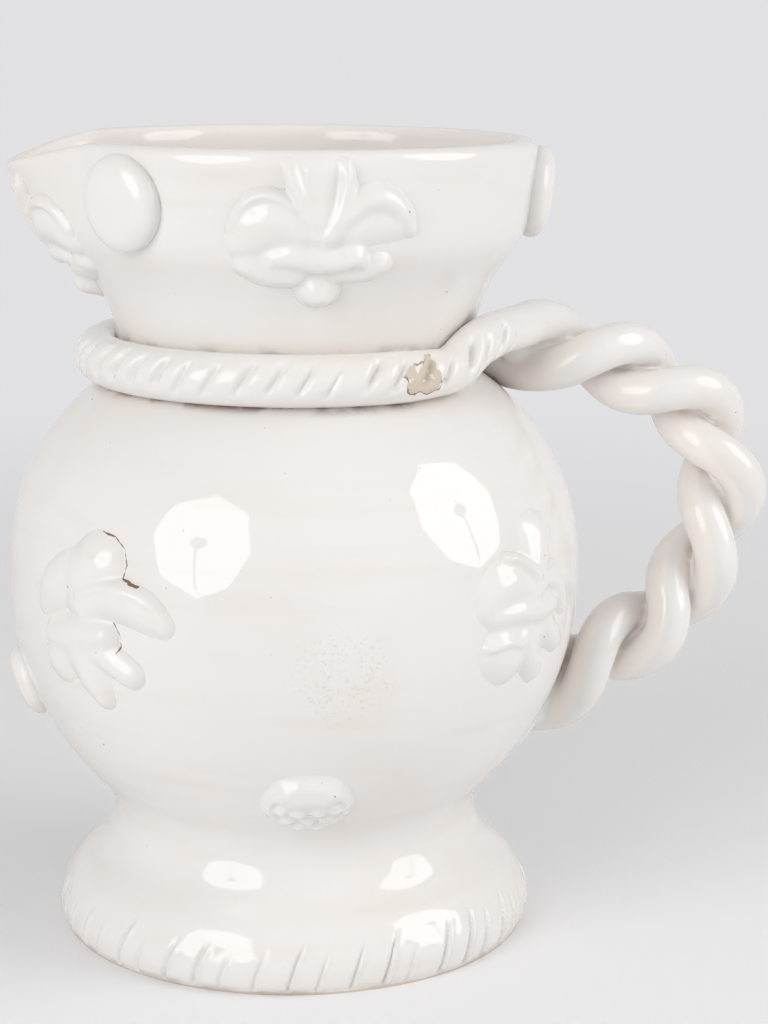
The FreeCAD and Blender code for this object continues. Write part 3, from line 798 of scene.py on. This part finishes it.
# %% Buttons
BUTTON_SIDE = [(0, 7.2), (5, 7.1), (9.2, 6.7), (11.8, 5.8), (13.5, 4.3), (14.3, 2.4), (14.4, 0.4),
               (13.9, -1.2), (0, -1.2)]
BUTTON_STEPS = 72


def make_button(name, line, height, degrees, size):
    """A round of clay, spun from its half outline and laid on a wall."""
    corners = half_section((radius * size, lift * size) for radius, lift in BUTTON_SIDE)
    draw_line(softened(run(corners, 0.9) + corners[-1:], -0.5, 99, 4))
    spin_round(BUTTON_STEPS)
    return lay_on_wall(end_edit(name), line, height, degrees)


BUTTONS = {"neck_disc_front": (MOUTH_LINE, 238, -137, 1.0),
           "neck_disc_back": (MOUTH_LINE, 238, 137, 1.0),
           "neck_disc_handle": (MOUTH_LINE, 238, -6, 1.0),
           "belly_disc_spout": (BELLY_LINE, 81, 180, 0.82)}
for name, (line, height, degrees, size) in BUTTONS.items():
    button = make_button(name.replace("disc", "button"), line, height, degrees, size)
    finish_piece(button, [name])
    sprigs.append(button)

# %% Raspberries
RASPBERRY = [[(-1.5, 0, 13.0, 2.4), (1.5, 0, 13.0, 2.4)],
             [(-5.5, 6.0, 5.4, 4.0), (5.5, 6.2, 5.4, 4.0)],
             [(-3.5, 3.8, 8.2, 3.6), (3.5, 4.0, 8.2, 3.6)]]
BORDER_STEPS = 24
BORDER_RADII, BORDER_WIDTH, BORDER_HEIGHT = (11.6, 10.2), 2.0, 2.4
for step in range(BORDER_STEPS):
    ends = [math.tau * (step + more) / BORDER_STEPS for more in (0, 1)]
    RASPBERRY.append([(BORDER_RADII[0] * math.cos(angle), BORDER_RADII[1] * math.sin(angle),
                       BORDER_WIDTH, BORDER_HEIGHT) for angle in ends])
BEAD_WIDTH = 2.9
BEADS = [(-8.0, -0.8, 4.0), (-2.6, -1.2, 4.4), (2.9, -0.6, 4.4), (8.2, -0.4, 4.1), (-5.4, -5.6, 3.8),
         (0.4, -6.0, 4.2), (5.9, -5.4, 3.9), (-2.6, -9.6, 3.1), (3.4, -9.4, 3.1)]
for across, up, height in BEADS:
    RASPBERRY.append([(across, up, BEAD_WIDTH, height), (across + 0.1, up, BEAD_WIDTH, height)])
RASPBERRY_SIZE = (32, 30)
RASPBERRY_HEIGHT = 60.4
for side, degrees in (("front", -92), ("back", 92)):
    add_sprig("sprig_raspberry_" + side, "raspberry_" + side, (BELLY_LINE, RASPBERRY_HEIGHT, degrees),
              RASPBERRY, *RASPBERRY_SIZE, melt=SOFT_MELT)

# %% [markdown]
# ## Short words for shader nodes
#
# A glaze is one material with many layers, and each layer takes a handful of nodes. These words add
# a node, feed its sockets and give its result, so that each layer below reads as a recipe. All of
# them work on Object coordinates, so what they draw stays on the pot from every side.

# %% Nodes in short words
class Tree:
    """Short words for adding and joining shader nodes."""

    def __init__(self, material):
        material.use_nodes = True
        self.nodes = material.node_tree.nodes
        self.links = material.node_tree.links

    def add(self, kind, label, settings=None, **inputs):
        node = self.nodes.new(kind)
        node.label = label
        for name, value in (settings or {}).items():
            setattr(node, name, value)
        for name, value in inputs.items():
            self.feed(node.inputs[name.replace("_", " ")], value)
        return node

    def feed(self, socket, value):
        if isinstance(value, bpy.types.NodeSocket):
            self.links.new(value, socket)
        else:
            socket.default_value = value

    def math(self, label, operation, *values):
        node = self.add("ShaderNodeMath", label, {"operation": operation})
        for socket, value in zip(node.inputs, values):
            self.feed(socket, value)
        return node.outputs[0]

    def ramp(self, label, value, low, high):
        """0 below low, 1 above high, smooth between; low may be above high."""
        smooth = {"interpolation_type": "SMOOTHSTEP"}
        node = self.add("ShaderNodeMapRange", label, smooth, Value=value)
        node.inputs["From Min"].default_value = low
        node.inputs["From Max"].default_value = high
        return node.outputs["Result"]

    def noise(self, label, place, size_mm, detail=2.0):
        """Cloudy noise from 0 to 1, with clouds of a size in millimetres."""
        node = self.add("ShaderNodeTexNoise", label, Vector=place, Scale=1000.0 / size_mm,
                        Detail=detail)
        return node.outputs["Fac"]

    def mix(self, label, mask, first, second, strength=1):
        """The first colour, and the second where the mask is, as far as the strength lets it."""
        node = self.add("ShaderNodeMix", label, {"data_type": "RGBA"})
        share = mask if strength == 1 else self.math(label, "MULTIPLY", mask, strength)
        self.feed(node.inputs["Factor"], share)
        self.feed(node.inputs["A"], first)
        self.feed(node.inputs["B"], second)
        return node.outputs["Result"]

    def vector(self, label, operation, *values):
        """Vector arithmetic. A length, a distance and a dot product give a number."""
        node = self.add("ShaderNodeVectorMath", label, {"operation": operation})
        for socket, value in zip(node.inputs, values):
            self.feed(socket, value)
        gives_number = operation in ("LENGTH", "DISTANCE", "DOT_PRODUCT")
        return node.outputs["Value" if gives_number else "Vector"]

    def near(self, label, place, middle_mm, radii_mm):
        """How far a place is from a middle, 1 at the surface of an ellipsoid."""
        moved = self.add("ShaderNodeMapping", label, {"vector_type": "TEXTURE"}, Vector=place)
        moved.inputs["Location"].default_value = Vector(middle_mm) * MM
        moved.inputs["Scale"].default_value = Vector(radii_mm) * MM
        return self.vector(label, "LENGTH", moved.outputs[0])

    def from_line(self, label, place, start_mm, end_mm):
        """The distance of a place from a short straight line, in metres."""
        start, end = Vector(start_mm) * MM, Vector(end_mm) * MM
        line = end - start
        from_start = self.vector(label, "SUBTRACT", place, start)
        along = self.vector(label, "DOT_PRODUCT", from_start, line / line.length_squared)
        share = self.add("ShaderNodeClamp", label, Value=along).outputs[0]
        return self.vector(label, "DISTANCE", from_start, self.vector(label, "MULTIPLY", share, line))


# %% [markdown]
# ## The white of the glaze
#
# Tin glaze is a thick glassy white, warm where it lies thin. The first layers are slow clouds of a
# warmer white, and faint level streaks where the throwing rings show through. Then the creases are
# found with ambient occlusion: shallow ones get a painted shade, a little darker and warm, and deep
# ones hold broken brown dirt.

# %% Whites, clouds and creases
GLAZE_WHITE = (0.81, 0.785, 0.762, 1)
GLAZE_WARM = (0.77, 0.70, 0.64, 1)
# A warm brown: the painted shade of shallow creases, and also the real stain, bare foot edge and patch
# grains
WARM_SHADE_AND_STAIN = (0.62, 0.50, 0.41, 1)
CREASE_BROWN = (0.20, 0.11, 0.06, 1)
CLOUD_SIZE, CLOUD_SHARE = 60, 0.35
STREAK_SIZE, STREAK_SHARE, STREAK_STRETCH = 7, 0.3, (0.12, 0.12, 1)
# How far the crease search reaches, and how strong the painted shade in shallow creases is
CREASE_REACH, CREASE_SHADE_SHARE = 5.0, 0.26


def add_whites(tree, place):
    """White glaze with warm clouds and streaks."""
    clouds = tree.ramp("clouds", tree.noise("slow warmth", place, CLOUD_SIZE, 3), 0.5, 0.75)
    colour = tree.mix("clouds", clouds, GLAZE_WHITE, GLAZE_WARM, CLOUD_SHARE)
    rings = tree.vector("throwing rings", "MULTIPLY", place, STREAK_STRETCH)
    streaks = tree.ramp("streaks", tree.noise("streaks", rings, STREAK_SIZE, 3), 0.5, 0.75)
    return tree.mix("streaks", streaks, colour, GLAZE_WARM, STREAK_SHARE)


def add_creases(tree, colour, crease_noise):
    """Painted shade, darker and warm, in the shallow creases, and broken brown dirt lines in the deep
    ones.
    """
    open_sky = tree.add("ShaderNodeAmbientOcclusion", "crease", {"samples": 4, "only_local": False},
                        Distance=CREASE_REACH * MM).outputs["AO"]
    # Painted shade: the more a place is shut in by near surfaces, the darker and warmer it is painted
    soft = tree.ramp("soft", open_sky, 0.6, 0.2)
    colour = tree.mix("painted crease shade", soft, colour, WARM_SHADE_AND_STAIN, CREASE_SHADE_SHARE)
    deep = tree.math("deep", "MULTIPLY", tree.ramp("deep", open_sky, 0.34, 0.14),
                     tree.ramp("breaks", crease_noise, 0.46, 0.6))
    return tree.mix("brown creases", deep, colour, CREASE_BROWN)


# %% [markdown]
# ## Marks of the kiln and of use
#
# The glaze tore along the edge of one fleur and left two thin brown lines. They are drawn as short
# straight pieces on a flattened copy of the place, and kept to that side of the pot. A warm stain
# lies at the root of the handle, the inside is warmer than the outside, and the foot's standing
# edge is wiped bare.

# %% Torn lines
TORN_LINES = [[(0.6, 26.3), (5.6, 25.2), (9.8, 22.0), (11.2, 17.5), (10.4, 13.4), (16.6, 11.8)],
              [(7.2, -0.2), (9.4, -3.6), (9.7, -7.0), (9.0, -9.2)]]
TORN_WIDTH = 0.17
TORN_SIDE = 135
FAR_AWAY = 1.0


def add_torn_lines(tree, place, colour):
    """Lines given by across and up from the middle of the fleur, in millimetres."""
    turned = tree.add("ShaderNodeMapping", "turned to the fleur", Vector=place)
    turned.inputs["Rotation"].default_value = (0, 0, math.radians(TORN_SIDE))
    flat = tree.vector("seen flat", "MULTIPLY", turned.outputs[0], (0, 1, 1))
    away = FAR_AWAY
    for line in TORN_LINES:
        across, up = np.array(line).T
        points = wall_places(BELLY_LINE, GLOBE_FLEUR_HEIGHT, 0, across, up) * (0, 1, 1)
        for start, end in zip(points, points[1:]):
            away = tree.math("torn", "MINIMUM", away, tree.from_line("torn", flat, start, end))
    uneven = tree.ramp("torn", tree.noise("torn", place, 4, 3), 0.3, 0.7)
    width = tree.math("torn width", "MULTIPLY", uneven, 2 * TORN_WIDTH * MM)
    torn = tree.math("torn line", "LESS_THAN", away, width)
    depth = tree.add("ShaderNodeSeparateXYZ", "side of the pot", Vector=turned.outputs[0]).outputs["X"]
    torn = tree.math("torn line", "MULTIPLY", torn, tree.math("this side", "GREATER_THAN", depth, 0))
    return tree.mix("torn edge", torn, colour, CREASE_BROWN)


# %% Stain, warm inside and bare edge
STAIN_MIDDLE, STAIN_RADII, STAIN_SHARE = (93.0, -2.0, 87.5), (7.0, 9.0, 7.0), 0.75
INSIDE_WARM = (0.92, 0.85, 0.79, 1)
INSIDE_SHARE = 0.5
BARE_EDGE_HEIGHT, BARE_EDGE_SHARE = 1.6, 0.8


def add_stain(tree, place, colour):
    away = tree.near("stain", place, STAIN_MIDDLE, STAIN_RADII)
    stain = tree.math("stain", "MULTIPLY", tree.ramp("stain", away, 1.2, 0.3),
                      tree.ramp("stain clouds", tree.noise("stain", place, 6, 3), 0.35, 0.6))
    return tree.mix("stain", stain, colour, WARM_SHADE_AND_STAIN, STAIN_SHARE)


def add_inside(tree, place, normal, colour):
    """Inside, the wall faces the axis, so its normal and its place point against each other."""
    level = tree.vector("level place", "MULTIPLY", place, (1, 1, 0))
    facing = tree.vector("facing", "DOT_PRODUCT", level, normal)
    inside = tree.ramp("inside", facing, -0.01, -0.04)
    return tree.mix("warm inside", inside, colour, INSIDE_WARM, INSIDE_SHARE)


def add_bare_edge(tree, place, colour):
    ground = tree.add("ShaderNodeSeparateXYZ", "height", Vector=place).outputs["Z"]
    top = tree.math("edge height", "MULTIPLY", tree.noise("foot edge", place, 14, 3),
                    BARE_EDGE_HEIGHT * MM)
    bare = tree.math("bare edge", "LESS_THAN", ground, top)
    return tree.mix("bare foot edge", bare, colour, WARM_SHADE_AND_STAIN, BARE_EDGE_SHARE)


# %% [markdown]
# ## Pinholes, the rough patch and the chip
#
# Gas leaves pinholes in a glaze. A cell pattern gives one dot in the middle of each cell, and only
# a share of the cells keeps its dot. A patch of tiny grains roughens the globe, and at the collar a
# chip shows the clay, with flakes of glaze left on it and a broken brown rim.

# %% Pinholes and patch
PINHOLE_BROWN = (0.16, 0.10, 0.07, 1)
PINHOLE_SHARE = 0.8
PATCH_MIDDLE, PATCH_RADII, PATCH_SHARE = (8.0, -90.0, 104.0), (17.0, 14.0, 17.0), 0.3
GRAIN_SIZE = 1.1


def pinholes(tree, place, cell_mm, hole_mm, share, label):
    """Small dark dots: a share of the cells of a point pattern get a hole in the middle."""
    cells = tree.add("ShaderNodeTexVoronoi", label, Vector=place, Scale=1000.0 / cell_mm)
    size = hole_mm / cell_mm
    hole = tree.ramp(label + " size", cells.outputs["Distance"], size, size * 0.5)
    parts = tree.add("ShaderNodeSeparateColor", label + " pick", Color=cells.outputs["Color"])
    picked = tree.math(label + " picked", "LESS_THAN", parts.outputs[0], share)
    return tree.math(label, "MULTIPLY", hole, picked)


def find_patch(tree, place):
    """The grains of the rough patch, thinning out at its ragged edge."""
    away = tree.near("rough patch", place, PATCH_MIDDLE, PATCH_RADII)
    clouds = tree.math("ragged", "MULTIPLY", tree.noise("ragged", place, 12, 3), 0.9)
    patch = tree.ramp("patch", tree.math("ragged", "ADD", away, clouds), 1.55, 1.0)
    grains = tree.ramp("grains", tree.noise("grains", place, GRAIN_SIZE, 2), 0.58, 0.66)
    thinned = tree.math("patch share", "MULTIPLY", patch, PATCH_SHARE)
    return tree.math("patch dots", "MULTIPLY", grains, thinned)


# %% Chip
CLAY = (0.62, 0.54, 0.44, 1)
CHIP_MIDDLE, CHIP_RADII = (34.5, -60.0, 187.5), (8.5, 8.0, 6.2)
CHIP_EDGE, CHIP_RAGGED = 1.62, 1.6


def add_chip(tree, place, colour, crease_noise):
    """Gives where the chip is, and the colour with the chip in it."""
    away = tree.near("chip", place, CHIP_MIDDLE, CHIP_RADII)
    clouds = tree.math("chip edge", "MULTIPLY", tree.noise("chip edge", place, 5.5, 4), CHIP_RAGGED)
    away = tree.math("chip edge", "ADD", away, clouds)
    chip = tree.math("chip", "LESS_THAN", away, CHIP_EDGE)
    rim = tree.math("chip rim", "MULTIPLY",
                    tree.ramp("rim outer", away, CHIP_EDGE + 0.07, CHIP_EDGE + 0.02),
                    tree.ramp("rim inner", away, CHIP_EDGE - 0.07, CHIP_EDGE - 0.01))
    flakes = tree.ramp("flakes", tree.noise("flakes", place, 3.2, 4), 0.6, 0.63)
    colour = tree.mix("chip", chip, colour, tree.mix("flakes", flakes, CLAY, GLAZE_WHITE))
    breaks = tree.ramp("rim breaks", crease_noise, 0.47, 0.56)
    rim = tree.math("rim share", "MULTIPLY", rim, breaks)
    return chip, tree.mix("chip rim", rim, colour, CREASE_BROWN)


# %% [markdown]
# ## The whole glaze
#
# The layers go on in order, and the same masks make the patch and the chip rough and press the
# chip, the grains and the holes into the surface. Everywhere else the glaze is smooth as glass,
# with a slight ripple.

# %% Glaze material
GLAZE_ROUGHNESS, GLAZE_IOR = 0.035, 1.52
PATCH_ROUGHNESS, CHIP_ROUGHNESS = 0.6, 0.75
RIPPLE_HEIGHT, HOLE_DEPTH, GRAIN_DEPTH, CHIP_DEPTH = 0.05, -0.25, -0.12, -0.5


def make_glaze():
    material = bpy.data.materials.new("tin_glaze")
    tree = Tree(material)
    surface = tree.nodes["Principled BSDF"]
    coordinates = tree.add("ShaderNodeTexCoord", "place")
    place = coordinates.outputs["Object"]
    crease_noise = tree.noise("broken crease", place, 9, 4)

    colour = add_whites(tree, place)
    colour = add_creases(tree, colour, crease_noise)
    colour = add_torn_lines(tree, place, colour)
    colour = add_stain(tree, place, colour)
    colour = add_inside(tree, place, coordinates.outputs["Normal"], colour)
    colour = add_bare_edge(tree, place, colour)
    holes = tree.math("holes", "MAXIMUM", pinholes(tree, place, 13, 0.42, 0.5, "pinholes"),
                      pinholes(tree, place, 5, 0.2, 0.22, "fine pinholes"))
    grains = find_patch(tree, place)
    colour = tree.mix("patch dots", grains, colour, WARM_SHADE_AND_STAIN)
    colour = tree.mix("pinholes", holes, colour, PINHOLE_BROWN, PINHOLE_SHARE)
    chip, colour = add_chip(tree, place, colour, crease_noise)
    tree.feed(surface.inputs["Base Color"], colour)

    rough = tree.math("rough", "MAXIMUM", tree.math("rough patch", "MULTIPLY", grains, PATCH_ROUGHNESS),
                      tree.math("rough chip", "MULTIPLY", chip, CHIP_ROUGHNESS))
    tree.feed(surface.inputs["Roughness"], tree.math("roughness", "ADD", rough, GLAZE_ROUGHNESS))
    surface.inputs["IOR"].default_value = GLAZE_IOR

    relief_mm = tree.math("ripple", "MULTIPLY", tree.noise("glaze ripple", place, 9, 2), RIPPLE_HEIGHT)
    for label, mask, depth in (("holes", holes, HOLE_DEPTH), ("grains", grains, GRAIN_DEPTH),
                               ("chip", chip, CHIP_DEPTH)):
        sunk = tree.math(label + " depth", "MULTIPLY", mask, depth)
        relief_mm = tree.math("relief", "ADD", relief_mm, sunk)
    bump = tree.add("ShaderNodeBump", "glaze relief", Height=relief_mm, Strength=1.0,
                    Distance=1.0 * MM)
    tree.feed(surface.inputs["Normal"], bump.outputs["Normal"])
    print("The glaze has", len(tree.nodes), "nodes")
    return material


glaze = make_glaze()
own_pieces = [body, mouth, coil] + sprigs
for piece in list(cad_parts.values()) + own_pieces:
    piece.data.materials.clear()
    piece.data.materials.append(glaze)
print("Glazed pieces", len(own_pieces))

# %% [markdown]
# ## The studio
#
# The pot stands on a pale sheet in an even room, with two eight-sided soft boxes in front of it,
# left and right. Their reflections are the two bright windows on the globe, each with the hub and
# stand of its lamp. Hub and stand are painted light: dim grey glowing parts standing in for a dark
# hub and pole. The sheet fades into the colour of the room, so no horizon shows.

# %% Table and room
ROOM = (0.755, 0.755, 0.775, 1)
TABLE_WHITE = (0.88, 0.88, 0.89, 1)
TABLE_RADIUS = 6
ROOM_LIGHT = 0.56
ROOM_LIGHT_COLOUR = (1.0, 0.995, 0.99, 1)
FADE_START, FADE_END = 0.22, 1.1


def find_seen_rays(tree):
    """1 for rays that show the room itself: the camera's, and those mirrored or let through."""
    path = tree.add("ShaderNodeLightPath", "ray")
    seen = tree.math("seen", "MAXIMUM", path.outputs["Is Camera Ray"], path.outputs["Is Glossy Ray"])
    return tree.math("seen", "MAXIMUM", seen, path.outputs["Is Transmission Ray"])


def show_both(tree, share, first, second, output):
    """Send a mix of two shaders to an output node."""
    both = tree.add("ShaderNodeMixShader", "both")
    for socket, value in zip(both.inputs, (share, first.outputs[0], second.outputs[0])):
        tree.feed(socket, value)
    tree.feed(tree.nodes[output].inputs["Surface"], both.outputs[0])


def make_sheet():
    """Pale cloth that turns into the plain colour of the room away from the pot."""
    material = bpy.data.materials.new("pale_sheet")
    tree = Tree(material)
    sheet = tree.nodes["Principled BSDF"]
    sheet.inputs["Base Color"].default_value = TABLE_WHITE
    sheet.inputs["Roughness"].default_value = 0.9
    sheet.inputs["Specular IOR Level"].default_value = 0.1
    place = tree.add("ShaderNodeTexCoord", "place").outputs["Object"]
    weave = tree.noise("weave", place, 1.6, 1)
    bump = tree.add("ShaderNodeBump", "weave", Height=weave, Strength=0.25, Distance=0.3 * MM)
    tree.feed(sheet.inputs["Normal"], bump.outputs["Normal"])
    far = tree.add("ShaderNodeEmission", "far sheet", Color=ROOM, Strength=1.0)
    fade = tree.ramp("fade", tree.vector("reach", "LENGTH", place), FADE_START, FADE_END)
    share = tree.math("fade", "MULTIPLY", fade, find_seen_rays(tree))
    show_both(tree, share, sheet, far, "Material Output")
    return material


def make_table():
    deselect()
    bpy.ops.mesh.primitive_circle_add(vertices=64, radius=TABLE_RADIUS, fill_type="NGON")
    table = bpy.context.object
    table.name = "table"
    table.data.materials.append(make_sheet())


def make_room():
    world = bpy.data.worlds.new("room")
    scene.world = world
    tree = Tree(world)
    lit = tree.nodes["Background"]
    lit.inputs["Color"].default_value = ROOM_LIGHT_COLOUR
    lit.inputs["Strength"].default_value = ROOM_LIGHT
    shown = tree.add("ShaderNodeBackground", "shown room", Color=ROOM, Strength=1.0)
    show_both(tree, find_seen_rays(tree), lit, shown, "World Output")


make_table()
make_room()
print("The table fades into the room from", FADE_START, "to", FADE_END, "m")

# %% Soft boxes
BOX_RADIUS, BOX_STRETCH = 0.48, 1.28
BOX_LIGHT = 3.8
HUB_RADIUS, HUB_FORWARD = 0.07, 0.02
HUB_GLOW_COLOUR = (0.62, 0.60, 0.58, 1)
POLE_RADIUS = 0.011
AIM = Vector((0, 0, 0.13))
SOFT_BOXES = {"soft_box_left": Vector((-0.891, -0.961, 0.60)),
              "soft_box_right": Vector((1.191, -0.457, 0.72))}


def glowing_material(name, colour, strength):
    material = bpy.data.materials.new(name)
    tree = Tree(material)
    light = tree.add("ShaderNodeEmission", name, Color=colour, Strength=strength)
    tree.feed(tree.nodes["Material Output"].inputs["Surface"], light.outputs[0])
    return material


def stage_part(name, place, material, aimed=True):
    """Put a part of a lamp in its place, facing the pot, and out of the picture itself."""
    part = bpy.context.object
    part.name = name
    if aimed:
        part.rotation_euler = (AIM - place).to_track_quat("Z", "Y").to_euler()
    part.location = place
    part.visible_camera = False
    part.data.materials.append(material)


box_light = glowing_material("box_light", (1, 1, 1, 1), BOX_LIGHT)
# Painted light: the hub and stand glow a dim grey, standing in for the dark hub and pole of each lamp
hub_glow = glowing_material("hub_glow", HUB_GLOW_COLOUR, 1.0)
for name, place in SOFT_BOXES.items():
    deselect()
    bpy.ops.mesh.primitive_circle_add(vertices=8, radius=BOX_RADIUS, fill_type="NGON")
    bpy.context.object.scale.y = BOX_STRETCH
    stage_part(name, place, box_light)
    towards = (AIM - place).normalized() * HUB_FORWARD
    deselect()
    bpy.ops.mesh.primitive_circle_add(vertices=24, radius=HUB_RADIUS, fill_type="NGON")
    stage_part(name + "_hub", place + towards, hub_glow)
    deselect()
    bpy.ops.mesh.primitive_cylinder_add(vertices=12, radius=POLE_RADIUS, depth=BOX_RADIUS)
    stage_part(name + "_stand", place + towards - Vector((0, 0, BOX_RADIUS / 2)), hub_glow, aimed=False)
print("Soft boxes", list(SOFT_BOXES))
